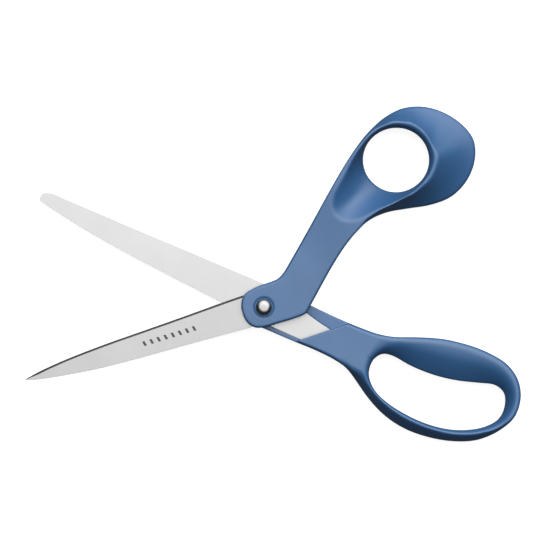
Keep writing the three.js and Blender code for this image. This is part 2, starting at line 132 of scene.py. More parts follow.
FINGER_HOLE = [
    (49.3, -1.6), (50.4, -6.2), (54.4, -10.3), (61, -12.9), (70, -14.1), (80, -13.9), (88.8, -12.1),
    (96.1, -8.9), (102, -4.5), (105.4, 0.5), (105.4, 6), (102.9, 10.7), (98.2, 12.1), (92.3, 10.3),
    (83.2, 7.1), (74, 5.1), (64, 4.4), (56, 4.8), (52.2, 3.9), (50.2, 1.8),
]
FINGER_BACK_RIM = [
    (47.4, -1), (48.6, -6.5), (53, -12), (61, -15.6), (71, -17), (81, -16.6), (91, -14), (99, -9.6),
    (104.6, -4), (106.8, 2), (106, 8), (103, 12), (98, 13.6), (91, 12.2), (83, 9), (74, 6.6),
    (64, 5.9), (56.5, 6.4), (51.5, 5.4), (48.6, 2.5),
]

# Blade rows: x, y, then the width of the ground bevel there. Each ends in the tang in its handle.
BEVEL = 0.85
THUMB_BLADE_OUTLINE = [
    (-101, 0, 0.1), (-99.2, -0.7, 0), (-95, -1.6, 0), (-88, -2.6, 0), (-80, -3.5, 0), (-70, -4.4, 0),
    (-60, -4.9, 0), (-45, -5.3, 0), (-30, -5.6, 0), (-15, -6.05, 0), (0, -6.3, 0), (7, -5.6, 0),
    (12.5, -2.8, 0), (18.5, 2.8, 0), (33, 16.7, 0), (35.4, 20.2, 0), (33.2, 23, 0), (29.5, 22.2, 0),
    (17, 10.4, 0), (11.5, 7.4, 0), (6, 6.9, 0), (-2, 7.1, 0), (-7, 7.05, BEVEL), (-18, 6.6, BEVEL),
    (-34, 5.8, BEVEL), (-50, 5.1, BEVEL), (-66, 4.4, BEVEL), (-80, 3.4, BEVEL), (-89, 2.4, BEVEL),
    (-95.5, 1.4, BEVEL), (-99.3, 0.55, 0.4),
]
FINGER_BLADE_OUTLINE = [
    (-101.2, 1.2, 0.1), (-100.6, -0.2, 0.4), (-98, -0.8, BEVEL), (-90, -1.8, BEVEL),
    (-80, -2.9, BEVEL), (-68, -3.8, BEVEL), (-54, -4.5, BEVEL), (-38, -5, BEVEL), (-20, -5.5, BEVEL),
    (-8, -5.7, BEVEL), (-2, -5.75, 0), (8, -5.6, 0), (22, -5.2, 0), (38, -4.4, 0), (44, -3.2, 0),
    (45.8, -0.2, 0), (43.5, 2.4, 0), (36, 3, 0), (26.5, 3.7, 0), (17, 5.3, 0), (9, 7.3, 0),
    (2, 8.3, 0), (-6, 8.5, 0), (-20, 7.9, 0), (-40, 7, 0), (-60, 6, 0), (-78, 5.3, 0), (-91, 4.7, 0),
    (-98.2, 4.3, 0), (-100.6, 3, 0),
]

# Where one handle steps down to pass over the other. The finger handle's step is a slanted line.
THUMB_STEP_Y = 9.9
FINGER_STEP_POINT = (19.1, -5.4)
FINGER_STEP_ANGLE = math.radians(44.3)


# ---- Plane geometry ----
EVENING = 3  # rounds that even out a curve's bends
HANDLE_STEPS = 9  # points of a curve for each row of its outline
TANG_STEPS = 5
BLADE_STEPS = 8


def closed_curve(rows, per_row):
    """A closed centripetal Catmull-Rom curve through the rows' points; further columns follow along."""
    rows = np.array(rows, float)
    before, here, after, beyond = (np.roll(rows[:, :2], shift, axis=0) for shift in (1, 0, -1, -2))
    gaps = [np.sqrt(np.linalg.norm(b - a, axis=1, keepdims=True))
            for a, b in ((before, here), (here, after), (after, beyond))]
    near, middle, far = gaps
    chord = (after - here) / middle
    leave = middle * ((here - before) / near - (after - before) / (near + middle) + chord)
    arrive = middle * (chord - (beyond - here) / (middle + far) + (beyond - after) / far)
    steps = []
    for t in np.arange(per_row) / per_row:
        point = ((2 * t**3 - 3 * t**2 + 1) * here + (t**3 - 2 * t**2 + t) * leave
                 + (3 * t**2 - 2 * t**3) * after + (t**3 - t**2) * arrive)
        ease = t * t * (3 - 2 * t)
        further = (1 - ease) * rows[:, 2:] + ease * np.roll(rows[:, 2:], -1, axis=0)
        steps.append(np.hstack([point, further]))
    curve = np.stack(steps, axis=1).reshape(-1, rows.shape[1])
    for _ in range(EVENING):
        curve = (np.roll(curve, 1, axis=0) + 2 * curve + np.roll(curve, -1, axis=0)) / 4
    return curve


def eased(layer, reach):
    """A grid layer averaged over a soft patch of about the given reach."""
    spans = np.arange(-3 * reach, 3 * reach + 1)
    weights = np.exp(-0.5 * (spans / reach) ** 2)
    weights /= weights.sum()
    for axis in (0, 1):
        edges = [(0, 0), (0, 0)]
        edges[axis] = (3 * reach, 3 * reach)
        wide = np.pad(layer, edges, mode="reflect", reflect_type="odd")
        layer = sum(w * np.roll(wide, k, axis) for w, k in zip(weights, spans))
        keep = slice(3 * reach, -3 * reach)
        layer = layer[keep] if axis == 0 else layer[:, keep]
    return layer


def smoothstep(low, high, value):
    """0 up to low, 1 from high on, and an even slope between them."""
    share = np.clip((value - low) / (high - low), 0, 1)
    return share**2 * (3 - 2 * share)


def ellipse(centre, radii, count=96):
    angle = np.linspace(0, 2 * math.pi, count, endpoint=False)
    return np.stack([centre[0] + radii[0] * np.cos(angle), centre[1] + radii[1] * np.sin(angle)], axis=1)


def depth_inside(points, outline):
    """How far points lie inside a closed outline, and its further columns nearest to them.

    Outside the outline the depth is below 0.
    """
    nearest = np.full(len(points), np.inf)
    further = np.zeros((len(points), outline.shape[1] - 2))
    inside = np.zeros(len(points), bool)
    for a, b in zip(outline, np.roll(outline, -1, axis=0)):
        side = b[:2] - a[:2]
        share = np.clip((points - a[:2]) @ side / (side @ side), 0, 1)
        distance = np.linalg.norm(points - a[:2] - share[:, None] * side, axis=1)
        closer = distance < nearest
        nearest[closer] = distance[closer]
        further[closer] = (1 - share[closer, None]) * a[2:] + share[closer, None] * b[2:]
        straddles = (a[1] > points[:, 1]) != (b[1] > points[:, 1])
        crossing = a[0] + (points[:, 1] - a[1]) * side[0] / (side[1] or 1)
        inside ^= straddles & (points[:, 0] < crossing)
    return np.where(inside, nearest, -nearest), further


# ---- Skins drawn on a grid ----
def surface_net(values):
    """Points, in grid steps, and four-sided faces of the surface where a grid of values crosses zero."""
    inside = values < 0
    cell_shape = np.array(values.shape) - 1
    points, cells, faces = [], [], []
    for axis in range(3):
        step, across, up = np.eye(3, dtype=int)[[axis, (axis + 1) % 3, (axis + 2) % 3]]
        last = tuple(slice(0, size - move) for size, move in zip(values.shape, step))
        first = tuple(slice(move, None) for move in step)
        at = np.argwhere(inside[last] != inside[first])
        here, there = values[tuple(at.T)], values[tuple((at + step).T)]
        crossing = at + (here / (here - there))[:, None] * step
        ring = np.stack([
            np.ravel_multi_index(tuple((at - shift).T), cell_shape)
            for shift in (across + up, up, 0 * up, across)
        ], axis=1)
        outward = inside[tuple(at.T)]
        faces.append(np.where(outward[:, None], ring, ring[:, ::-1]))
        cells.append(ring.T.ravel())
        points.append(np.tile(crossing, (4, 1)))
    cells, points, faces = np.concatenate(cells), np.concatenate(points), np.concatenate(faces)
    used, place = np.unique(cells, return_inverse=True)
    count = np.bincount(place)
    middle = np.stack([np.bincount(place, points[:, k]) / count for k in range(3)], axis=1)
    return middle, np.searchsorted(used, faces)


def sampled(layers, low, points):
    """The layers' values at points, read between the grid's nodes."""
    place = (points[:, :2] - low) / GRID
    cell = np.clip(np.floor(place).astype(int), 0, np.array(next(iter(layers.values())).shape) - 2)
    (i, j), (u, v) = cell.T, (place - cell).T
    return {
        name: (1 - u) * ((1 - v) * layer[i, j] + v * layer[i, j + 1])
        + u * ((1 - v) * layer[i + 1, j] + v * layer[i + 1, j + 1])
        for name, layer in layers.items()
    }


def settled(points, density, rounds=4, reach=0.05, least_steepness=0.3):
    """Points moved along the density's slope onto the surface where it is zero."""
    for _ in range(rounds):
        slope = np.stack([
            (density(points + move) - density(points - move)) / (2 * reach) for move in reach * np.eye(3)
        ], axis=1)
        steepness = np.maximum((slope**2).sum(axis=1), least_steepness)
        move = (density(points) / steepness)[:, None] * slope
        points = points - np.clip(move, -GRID / 2, GRID / 2)
    return points


def rounded_max(a, b, radius):
    """The larger of two values, eased where they are within a radius of each other."""
    ease = np.maximum(radius - np.abs(a - b), 0) / radius
    return np.maximum(a, b) + ease**2 * radius / 4


# ---- Handles ----
# The front and the back of a loop are each made of three faces: the crest, a wall that leans down from it
# to the outline ("lean"), and a wall that goes down to the narrowest ring of the way through ("way").
SHANK_EASE = 0.9  # easing of the edges of the boss and shank
LOOP_EASE = 1.5  # easing of a loop's outer and inner edges
LOOP_MARGIN = 0.75  # how much larger a loop is all round, since its easing takes as much away again
SHANK_MARGIN = 0.35  # the same for the boss and shank
SHANK_DRAFT = 0.16  # lean of the shank's walls, as a share of their height
CUT_EASE = 0.35  # easing of the edges that are cut afterwards
LEAN_FALL = 11.8  # how far a leaning wall drops from its crest to the outline
WALL_HALF = 1.3  # half of the wall's thickness where the way through is narrowest
LEAST_WIDTH = 0.02  # what a face without any width is given instead
FAR = 40.0  # faces are followed up to this height, above and below
CREASE_REACH = 5  # reach of the easing inside a face, in grid steps
CREASE_WIDTHS = (4.0, 10.0)  # a face between these widths is eased from not at all to fully


def handle_outline(rows, *rims):
    """A handle's outline; its insets become shares of the way from the outline to each rim's curve."""
    outline = closed_curve(rows, HANDLE_STEPS)
    for column, rim in enumerate(rims, 2):
        outline[:, column] /= -depth_inside(outline[:, :2], closed_curve(rim, HANDLE_STEPS))[0]
    return outline


THUMB = {
    "outline": handle_outline(THUMB_OUTLINE, THUMB_FRONT_RIM, THUMB_BACK_RIM),
    "front_rim": closed_curve(THUMB_FRONT_RIM, HANDLE_STEPS),
    "hole": ellipse(THUMB_HOLE_CENTRE, THUMB_HOLE_RADII),
    "back_rim": closed_curve(THUMB_BACK_RIM, HANDLE_STEPS),
    "tang": closed_curve(THUMB_BLADE_OUTLINE, TANG_STEPS)[:, :2],
    "centre": THUMB_HOLE_CENTRE,
    "waist": -0.6,  # height of the narrowest ring, halfway between its two extremes
    "swing": 4.0,  # how far that ring tilts up on its high side and down on the other
    "high_side": math.radians(20),
    "crest_ease": 0.9,  # easing between the faces that meet at the loop's crest
    "lean_bow": {"front": 0.5, "back": 0.0},
    "way_bow": {"front": (0.0, -0.6), "back": (0.1, 0.0)},  # all round, and what the high side adds
}
FINGER = {
    "outline": handle_outline(FINGER_OUTLINE, FINGER_FRONT_RIM, FINGER_BACK_RIM),
    "front_rim": closed_curve(FINGER_FRONT_RIM, HANDLE_STEPS),
    "hole": closed_curve(FINGER_HOLE, HANDLE_STEPS),
    "back_rim": closed_curve(FINGER_BACK_RIM, HANDLE_STEPS),
    "tang": closed_curve(FINGER_BLADE_OUTLINE, TANG_STEPS)[:, :2],
    "centre": (78, 0),
    "waist": -0.2,
    "swing": 1.0,
    "high_side": math.radians(-90),
    "crest_ease": 1.9,
    "lean_bow": {"front": -0.3, "back": 0.0},
    "way_bow": {"front": (-0.6, 0.4), "back": (0.0, 0.0)},
}


def bowed(share, bow):
    """A fall from 0 to 1, hollow where bow is above 0, crowned where it is below, straight outside."""
    before = (1 + bow) * share
    between = (1 - bow) * share + bow * (1 - (1 - share) ** 2)
    beyond = 1 + (1 - bow) * (share - 1)
    return np.where(share < 0, before, np.where(share > 1, beyond, between))


def handle_layers(shape, xs, ys):
    """Everything about a handle that depends only on x and y, on a grid."""
    x, y = np.meshgrid(xs, ys, indexing="ij")
    points = np.stack([x.ravel(), y.ravel()], axis=1)
    edge, draw = depth_inside(points, shape["outline"])
    into = {name: depth_inside(points, shape[name])[0]
            for name in ("front_rim", "hole", "back_rim", "tang")}
    climb = smoothstep(RAMP_START, RAMP_END, np.linalg.norm(points, axis=1))
    crest = FACE_HEIGHT + (LOOP_HEIGHT - FACE_HEIGHT) * climb
    margin = SHANK_MARGIN + (LOOP_MARGIN - SHANK_MARGIN) * climb
    angle = np.arctan2(points[:, 1] - shape["centre"][1], points[:, 0] - shape["centre"][0])
    tilt = np.cos(angle - shape["high_side"])
    waist = shape["waist"] + shape["swing"] * tilt
    layers = {
        "x": points[:, 0], "y": points[:, 1], "edge": edge, "hole": into["hole"], "tang": into["tang"],
        "climb": climb, "crest": crest, "margin": margin,
        "crest_ease": np.full(len(points), shape["crest_ease"]),
    }
    layers = {name: layer.reshape(x.shape) for name, layer in layers.items()}
    for side, column, up in (("front", 0, 1), ("back", 1, -1)):
        rim = into[side + "_rim"]
        lean_width = np.maximum(draw[:, column] * (edge - rim), LEAST_WIDTH)
        way_width = np.maximum(rim - into["hole"], LEAST_WIDTH)
        way_fall = LOOP_HEIGHT - up * waist - WALL_HALF
        even, tilted = shape["way_bow"][side]
        lean = LEAN_FALL * bowed(1 - (edge + margin) / (lean_width + margin), shape["lean_bow"][side])
        way = way_fall * bowed(rim / way_width, even + tilted * tilt)
        for name, fall, width in (("_lean", lean, lean_width), ("_way", way, way_width)):
            height = np.clip(crest - fall, -FAR, FAR).reshape(x.shape)
            share = smoothstep(*CREASE_WIDTHS, width).reshape(x.shape)
            height += share * (eased(height, CREASE_REACH) - height)
            layers[side + name] = height
            layers[side + name + "_slope"] = np.hypot(1, np.hypot(*np.gradient(height, GRID)))
    return layers


def handle_body(layer, height):
    """Below zero inside a handle before the pivot's seats and the lap are cut."""
    sides = []
    for side, z in (("front", height), ("back", -height)):
        face = z - layer["crest"]
        for part in ("_lean", "_way"):
            face = rounded_max(face, (z - layer[side + part]) / layer[side + part + "_slope"],
                               layer["crest_ease"])
        sides.append(face)
    climb = layer["climb"]
    ease = SHANK_EASE + (LOOP_EASE - SHANK_EASE) * climb
    wall = SHANK_DRAFT * (1 - climb) * np.abs(height) - layer["margin"] - layer["edge"]
    body = rounded_max(rounded_max(*sides, LOOP_EASE), wall, ease)
    return rounded_max(body, layer["hole"] - LOOP_MARGIN, ease)


def cut_out(body, cuts):
    """A body less its cuts, with the new edges eased."""
    for cut in cuts:
        body = rounded_max(body, cut, CUT_EASE)
    return body


def thumb_density(layer, height):
    """The thumb handle less its lap, the head's recess, the bolt's hole and the tang's slot."""
    pivot = np.hypot(layer["x"], layer["y"])
    cuts = (
        np.minimum(LAP_GAP - height, THUMB_STEP_Y - layer["y"]),
        np.minimum(HEAD_RECESS_RADIUS + RECESS_LEAN * (height - FACE_HEIGHT) - pivot,
                   height - HEAD_RECESS_FLOOR),
        BOLT_HOLE_RADIUS - pivot + 0 * height,
        np.minimum(layer["tang"] + TANG_FIT, np.minimum(TANG_DEPTH - height, height + SLOT_OVERRUN)),
    )
    return cut_out(handle_body(layer, height), cuts)


def finger_density(layer, height):
    """The finger handle less its lap, the nut's recess, the bolt's hole and the tang's slot."""
    pivot = np.hypot(layer["x"], layer["y"])
    past_step = ((layer["y"] - FINGER_STEP_POINT[1]) * math.cos(FINGER_STEP_ANGLE)
                 - (layer["x"] - FINGER_STEP_POINT[0]) * math.sin(FINGER_STEP_ANGLE))
    cuts = (
        np.minimum(LAP_GAP + height, past_step),
        np.minimum(NUT_RECESS_RADIUS - pivot, -height - NUT_RECESS_FLOOR),
        BOLT_HOLE_RADIUS - pivot + 0 * height,
        np.minimum(layer["tang"] + TANG_FIT, np.minimum(TANG_DEPTH + height, SLOT_OVERRUN - height)),
    )
    return cut_out(handle_body(layer, height), cuts)


def handle_skin(shape, density):
    """Points in millimetres and faces of a handle."""
    room = 3 * GRID
    low = shape["outline"][:, :2].min(axis=0) - room
    high = shape["outline"][:, :2].max(axis=0) + room
    xs, ys = (np.arange(low[k], high[k] + GRID, GRID) for k in (0, 1))
    zs = np.arange(-LOOP_HEIGHT - room, LOOP_HEIGHT + room + GRID, GRID)
    layers = handle_layers(shape, xs, ys)
    stacked = {name: layer[:, :, None] for name, layer in layers.items()}
    steps, faces = surface_net(density(stacked, zs[None, None, :]))
    points = steps * GRID + (*low, zs[0])
    points = settled(points, lambda p: density(sampled(layers, low, p), p[:, 2]))
    return points, faces


# ---- Meshes ----
class Skin:
    """Points and faces of a closed mesh, gathered ring by ring."""

    def __init__(self):
        self.points = []
        self.faces = []

    def ring(self, points):
        start = len(self.points)
        self.points += [tuple(point) for point in points]
        return range(start, len(self.points))

    def walls(self, *rings):
        """Joins each ring to the next.

        Rings that turn anticlockwise and rise give walls that face outwards.
        """
        for low, high in zip(rings, rings[1:]):
            for i in range(len(low)):
                j = (i + 1) % len(low)
                self.faces.append((low[i], low[j], high[j], high[i]))

    def cap(self, up, *rings):
        """Fills a flat outline less its holes."""
        corners = [corner for ring in rings for corner in ring]
        for triangle in tessellate_polygon([[Vector(self.points[k]) for k in ring] for ring in rings]):
            a, b, c = (corners[k] for k in triangle)
            here, right, left = (Vector(self.points[k]) for k in (a, b, c))
            spin = (right - here).cross(left - here).z
            self.faces.append((a, b, c) if spin * up > 0 else (c, b, a))

    def flipped(self):
        """The same shape the other way up."""
        self.points = [(x, y, -z) for x, y, z in self.points]
        self.faces = [face[::-1] for face in self.faces]
        return self


def circle(radius, height, centre=(0, 0), count=96):
    return [(centre[0] + radius * math.cos(a), centre[1] + radius * math.sin(a), height)
            for a in np.linspace(0, 2 * math.pi, count, endpoint=False)]


def mesh_piece(name, points, faces, materials, turn=0.0, crease=None):
    """An object from points in millimetres, heights from the meeting plane, turned about the pivot.

    Faces that meet at more than the crease, in degrees, keep a sharp edge.
    """
    mesh = bpy.data.meshes.new(name)
    mesh.from_pydata(points, [], faces)
    place = Matrix.Translation((0, 0, MIDDLE)) @ Matrix.Rotation(turn, 4, "Z")
    mesh.transform(Matrix.Scale(MM, 4) @ place)
    mesh.shade_smooth()
    if crease is not None:
        mesh.set_sharp_from_angle(angle=math.radians(crease))
    for material in materials:
        mesh.materials.append(material)
    piece = bpy.data.objects.new(name, mesh)
    bpy.context.scene.collection.objects.link(piece)
    return piece


# ---- Blades ----
EDGE_BREAK = 0.05  # width of the broken edge where nothing is ground
BEVEL_PITCH = 0.85  # fall of the ground bevel for each millimetre of its width
BLADE_CREASE = 25


def blade_blank(rows):
    """A flat blade above the meeting plane, ground on its upper side, and which faces are the bevel."""
    outline = closed_curve(rows, BLADE_STEPS)
    along = np.roll(outline[:, :2], -1, axis=0) - np.roll(outline[:, :2], 1, axis=0)
    inward = np.stack([-along[:, 1], along[:, 0]], axis=1) / np.linalg.norm(along, axis=1, keepdims=True)
    ground = np.maximum(outline[:, 2:], EDGE_BREAK)
    skin = Skin()

    def ring(inset, height):
        flat = outline[:, :2] + inward * inset
        return skin.ring(np.hstack([flat, np.broadcast_to(height, (len(flat), 1))]))

    inner = ring(EDGE_BREAK, BLADE_NEAR)
    brow = ring(0, BLADE_NEAR + EDGE_BREAK)
    edge = ring(0, BLADE_FAR - BEVEL_PITCH * ground)
    face = ring(ground, BLADE_FAR)
    near_hole, far_hole = (skin.ring(circle(BOLT_HOLE_RADIUS, z)[::-1])
                           for z in (BLADE_NEAR, BLADE_FAR))
    skin.walls(edge, face)
    skin.walls(inner, brow, edge)
    skin.walls(near_hole, far_hole)
    skin.cap(-1, inner, near_hole)
    skin.cap(1, face, far_hole)
    bevelled = [i for i, width in enumerate(ground[:, 0]) if width > 2 * EDGE_BREAK]
    return skin, bevelled


# ---- The pivot ----
SEAT_GAP = 0.05  # between pieces stacked on the bolt
TURNED_CREASE = 30
HEAD_RADIUS = 3.3
HEAD_BREAK = 0.12  # broken edge round the head's underside
HEAD_SIDE = 0.5  # height of the head's upright side, below its dome
HEAD_SEAT = HEAD_RECESS_FLOOR + SEAT_GAP
HEAD_RIM = HEAD_SEAT + HEAD_SIDE
DOME_FULLNESS = 0.5  # below 1 the dome is flatter on top and steeper at its rim than an ellipse
DOME_STEPS = 32
DOME_END = 0.01  # angle from the axis at which the dome ends in a tiny flat
SHANK_RADIUS = 2.5
SHANK_END = NUT_TOP + SEAT_GAP
CORE_RADIUS = 1.6
CORE_CHAMFER = 0.35
NUT_RADIUS = 4.0
NUT_CHAMFER = 0.5
NUT_BORE = (1.65, 1.85)  # radius and depth
SPANNER_HOLE = (0.5, 1.1, 2.4)  # radius, depth and distance from the middle
SPANNER_HOLE_SIDES = 40
WASHER_HOLE = BOLT_HOLE_RADIUS
WASHER_BREAK = 0.06  # broken edge round a washer
FLAT_WASHER_RADIUS = 4.2
WAVE_WASHER_RADIUS = 3.9
WAVE_THICKNESS = 0.24
WAVES = 3


def bolt_skin():
    """A domed head, a round shank and a chamfered core."""
    dome = [(HEAD_RADIUS * math.sin(a) ** DOME_FULLNESS, HEAD_RIM + (BOLT_TOP - HEAD_RIM) * math.cos(a))
            for a in np.linspace(math.pi / 2, DOME_END, DOME_STEPS)]
    profile = [
        (CORE_RADIUS - CORE_CHAMFER, BOLT_END), (CORE_RADIUS, BOLT_END + CORE_CHAMFER),
        (CORE_RADIUS, SHANK_END), (SHANK_RADIUS, SHANK_END), (SHANK_RADIUS, HEAD_SEAT),
        (HEAD_RADIUS - HEAD_BREAK, HEAD_SEAT), (HEAD_RADIUS, HEAD_SEAT + HEAD_BREAK), *dome,
    ]
    skin = Skin()
    rings = [skin.ring(circle(radius, height)) for radius, height in profile]
    skin.walls(*rings)
    skin.cap(-1, rings[0])
    skin.cap(1, rings[-1])
    return skin


def nut_skin():
    """A round nut with a blind bore above and two spanner holes in its outer face."""
    skin = Skin()
    foot, low, high, top = (
        skin.ring(circle(radius, height)) for radius, height in (
            (NUT_RADIUS - NUT_CHAMFER, NUT_FACE), (NUT_RADIUS, NUT_FACE + NUT_CHAMFER),
            (NUT_RADIUS, NUT_TOP - NUT_CHAMFER), (NUT_RADIUS - NUT_CHAMFER, NUT_TOP),
        )
    )
    skin.walls(foot, low, high, top)
    radius, depth = NUT_BORE
    bore_floor, bore_mouth = (skin.ring(circle(radius, z)[::-1]) for z in (NUT_TOP - depth, NUT_TOP))
    skin.walls(bore_floor, bore_mouth)
    skin.cap(1, bore_floor)
    skin.cap(1, top, bore_mouth)
    radius, depth, reach = SPANNER_HOLE
    mouths = []
    for x in (-reach, reach):
        mouth, end = (skin.ring(circle(radius, z, (x, 0), SPANNER_HOLE_SIDES)[::-1])
                      for z in (NUT_FACE, NUT_FACE + depth))
        skin.walls(mouth, end)
        skin.cap(-1, end)
        mouths.append(mouth)
    skin.cap(-1, foot, *mouths)
    return skin


def washer_skin(radius, low, thickness, lift=0.0, waves=0):
    """A washer with broken edges; with waves its height swings by the lift."""
    skin = Skin()

    def ring(at, height):
        return skin.ring([(x, y, z + lift / 2 * (1 + math.cos(waves * math.atan2(y, x))))
                          for x, y, z in circle(at, height)])

    high = low + thickness
    inner, outer = WASHER_HOLE + WASHER_BREAK, radius - WASHER_BREAK
    rings = [ring(*corner) for corner in (
        (inner, low), (outer, low), (radius, low + WASHER_BREAK), (radius, high - WASHER_BREAK),
        (outer, high), (inner, high),
        (WASHER_HOLE, high - WASHER_BREAK), (WASHER_HOLE, low + WASHER_BREAK),
    )]
    skin.walls(*rings, rings[0])
    return skin


# ---- Materials: scales of noise are in cells for each metre, depths of bumps in metres ----
NOISE_MIDDLE = (0.3, 0.7)  # most of a noise's values lie between these
NOISE_DETAIL = 3
PLASTIC_GRAIN = 3200
PLASTIC_GRAIN_STRENGTH = 0.35
PLASTIC_GRAIN_DEPTH = 0.00003
PLASTIC_CLOUD = 60
PLASTIC_ROUGHNESS = (0.40, 0.50)
PLASTIC_SPECULAR = 0.6
GROUND_LINES = (9000, 160, 9000)  # along the blade, across it and through it
GROUND_LINE_DEPTH = 0.00001
STEEL_CLOUD = 45
STEEL_ROUGHNESS_SWING = 0.04

# The row of slanted bars etched on the thumb blade, in millimetres in the blade's own closed frame.
MARK_PITCH = 3.0
MARK_BAR = 1.0
MARK_SLANT = 0.25  # shift along the blade for each millimetre across it
MARK_MIDDLE = -40.0
MARK_LENGTH = 22.0
MARK_HEIGHT = 2.0


def grey(value):
    return (value, value, value)


def new_material(name):
    material = bpy.data.materials.new(name)
    material.use_nodes = True
    tree = material.node_tree
    return material, tree, tree.nodes["Principled BSDF"]


def node(tree, kind, inputs=(), **settings):
    """A node with its settings; an input is either a number or the socket that feeds it."""
    made = tree.nodes.new(kind)
    for key, value in settings.items():
        setattr(made, key, value)
    feed(tree, made, inputs)
    return made


def feed(tree, made, inputs):
    for key, value in dict(inputs).items():
        if isinstance(value, bpy.types.NodeSocket):
            tree.links.new(value, made.inputs[key])
        else:
            made.inputs[key].default_value = value


def place_on(tree, turn=0.0, scale=(1, 1, 1)):
    """Metres in a half's own closed frame, stretched by the scale."""
    metres = node(tree, "ShaderNodeTexCoord").outputs["Object"]
    turned = node(tree, "ShaderNodeMapping", {"Vector": metres, "Rotation": (0, 0, -turn)})
    return node(tree, "ShaderNodeMapping", {"Vector": turned.outputs[0], "Scale": scale}).outputs[0]


def noise(tree, place, scale):
    inputs = {"Vector": place, "Scale": scale, "Detail": NOISE_DETAIL}
    return node(tree, "ShaderNodeTexNoise", inputs).outputs["Fac"]


def maths(tree, operation, a, b=0):
    return node(tree, "ShaderNodeMath", {0: a, 1: b}, operation=operation).outputs[0]


def spread(tree, value, low, high):
    """A noise's middle values read as numbers from low to high."""
    return node(tree, "ShaderNodeMapRange", {
        "Value": value, "From Min": NOISE_MIDDLE[0], "From Max": NOISE_MIDDLE[1],
        "To Min": low, "To Max": high,
    }).outputs[0]


def tinted(tree, value, dark, light, between=NOISE_MIDDLE):
    """A colour from dark to light as the value goes from one share to the other."""
    ramp = node(tree, "ShaderNodeValToRGB", {"Fac": value})
    for stop, share, colour in zip(ramp.color_ramp.elements, between, (dark, light)):
        stop.position = share
        stop.color = (*colour, 1)
    return ramp.outputs["Color"]


def plastic(name, dark, light):
    """Satin moulded plastic with a fine grain."""
    material, tree, surface = new_material(name)
    place = place_on(tree)
    grain = noise(tree, place, PLASTIC_GRAIN)
    cloud = noise(tree, place, PLASTIC_CLOUD)
    bump = node(tree, "ShaderNodeBump", {
        "Height": grain, "Strength": PLASTIC_GRAIN_STRENGTH, "Distance": PLASTIC_GRAIN_DEPTH,
    })
    feed(tree, surface, {
        "Base Color": tinted(tree, cloud, dark, light),
        "Roughness": spread(tree, grain, *PLASTIC_ROUGHNESS),
        "Specular IOR Level": PLASTIC_SPECULAR,
        "Normal": bump.outputs[0],
    })
    return material


def etched_mark(tree, turn):
    """1 on the row of slanted bars and 0 elsewhere."""
    millimetres = place_on(tree, turn, (1 / MM, 1 / MM, 1 / MM))
    place = node(tree, "ShaderNodeSeparateXYZ", {"Vector": millimetres})
    x, y = place.outputs["X"], place.outputs["Y"]
    slanted = maths(tree, "ADD", x, maths(tree, "MULTIPLY", y, MARK_SLANT))
    in_bar = maths(tree, "LESS_THAN", maths(tree, "FLOORED_MODULO", slanted, MARK_PITCH), MARK_BAR)
    off_middle = maths(tree, "ABSOLUTE", maths(tree, "SUBTRACT", slanted, MARK_MIDDLE))
    in_row = maths(tree, "LESS_THAN", off_middle, MARK_LENGTH / 2)
    in_height = maths(tree, "LESS_THAN", maths(tree, "ABSOLUTE", y), MARK_HEIGHT / 2)
    return maths(tree, "MULTIPLY", in_bar, maths(tree, "MULTIPLY", in_row, in_height))


def steel(name, turn, dark, light, roughness, line_strength=0.35, mark=None):
    """Steel with fine ground lines across it, and the etched mark where its colour is given."""
    material, tree, surface = new_material(name)
    lines = noise(tree, place_on(tree, turn, GROUND_LINES), 1)
    cloud = noise(tree, place_on(tree, turn), STEEL_CLOUD)
    shade = maths(tree, "MULTIPLY", maths(tree, "ADD", lines, cloud), 0.5)
    bump = node(tree, "ShaderNodeBump", {
        "Height": lines, "Strength": line_strength, "Distance": GROUND_LINE_DEPTH,
    })
    if mark:
        shade = maths(tree, "SUBTRACT", shade, etched_mark(tree, turn))
    colour = tinted(tree, shade, dark, light)
    if mark:
        colour.node.color_ramp.elements.new(0).color = (*mark, 1)
    feed(tree, surface, {
        "Base Color": colour,
        "Metallic": 1.0,
        "Roughness": spread(tree, lines, roughness - STEEL_ROUGHNESS_SWING,
                            roughness + STEEL_ROUGHNESS_SWING),
        "Normal": bump.outputs[0],
    })
    return material


BLUE_PLASTIC = plastic("blue_plastic", (0.020, 0.078, 0.187), (0.025, 0.088, 0.210))
THUMB_STEEL = steel("thumb_blade_steel", HALF_OPEN, grey(0.235), grey(0.265), 0.34, mark=grey(0.04))
# The bevels are the blades' own steel with painted shade: a base colour near black stands in for the
# shade their slope catches.
THUMB_BEVEL_PAINTED_SHADE = steel("thumb_bevel_steel_painted_shade", HALF_OPEN, grey(0.038), grey(0.05), 0.22)
FINGER_STEEL = steel("finger_blade_steel", -HALF_OPEN, grey(0.27), grey(0.30), 0.36)
FINGER_BEVEL_PAINTED_SHADE = steel("finger_bevel_steel_painted_shade", -HALF_OPEN, grey(0.038), grey(0.05), 0.22)
BRIGHT_STEEL = steel("bright_steel", 0, grey(0.20), grey(0.25), 0.24, line_strength=0.15)
SPRING_STEEL = steel("spring_steel", 0, (0.26, 0.26, 0.27), (0.34, 0.34, 0.35), 0.32)


# ---- Pieces ----
FINGER_NODES = ("finger_handle", "finger_blade")


def dress(piece, stands_for, slot):
    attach(piece, "finger_half" if stands_for in FINGER_NODES else "thumb_half")
    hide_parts(stands_for)


for name, shape, density, turn in (
    ("thumb_handle", THUMB, thumb_density, HALF_OPEN),
    ("finger_handle", FINGER, finger_density, -HALF_OPEN),
):
    points, faces = handle_skin(shape, density)
    piece = mesh_piece(name + "_moulding", points.tolist(), faces.tolist(), [BLUE_PLASTIC], turn)
    dress(piece, name, "blue_plastic")

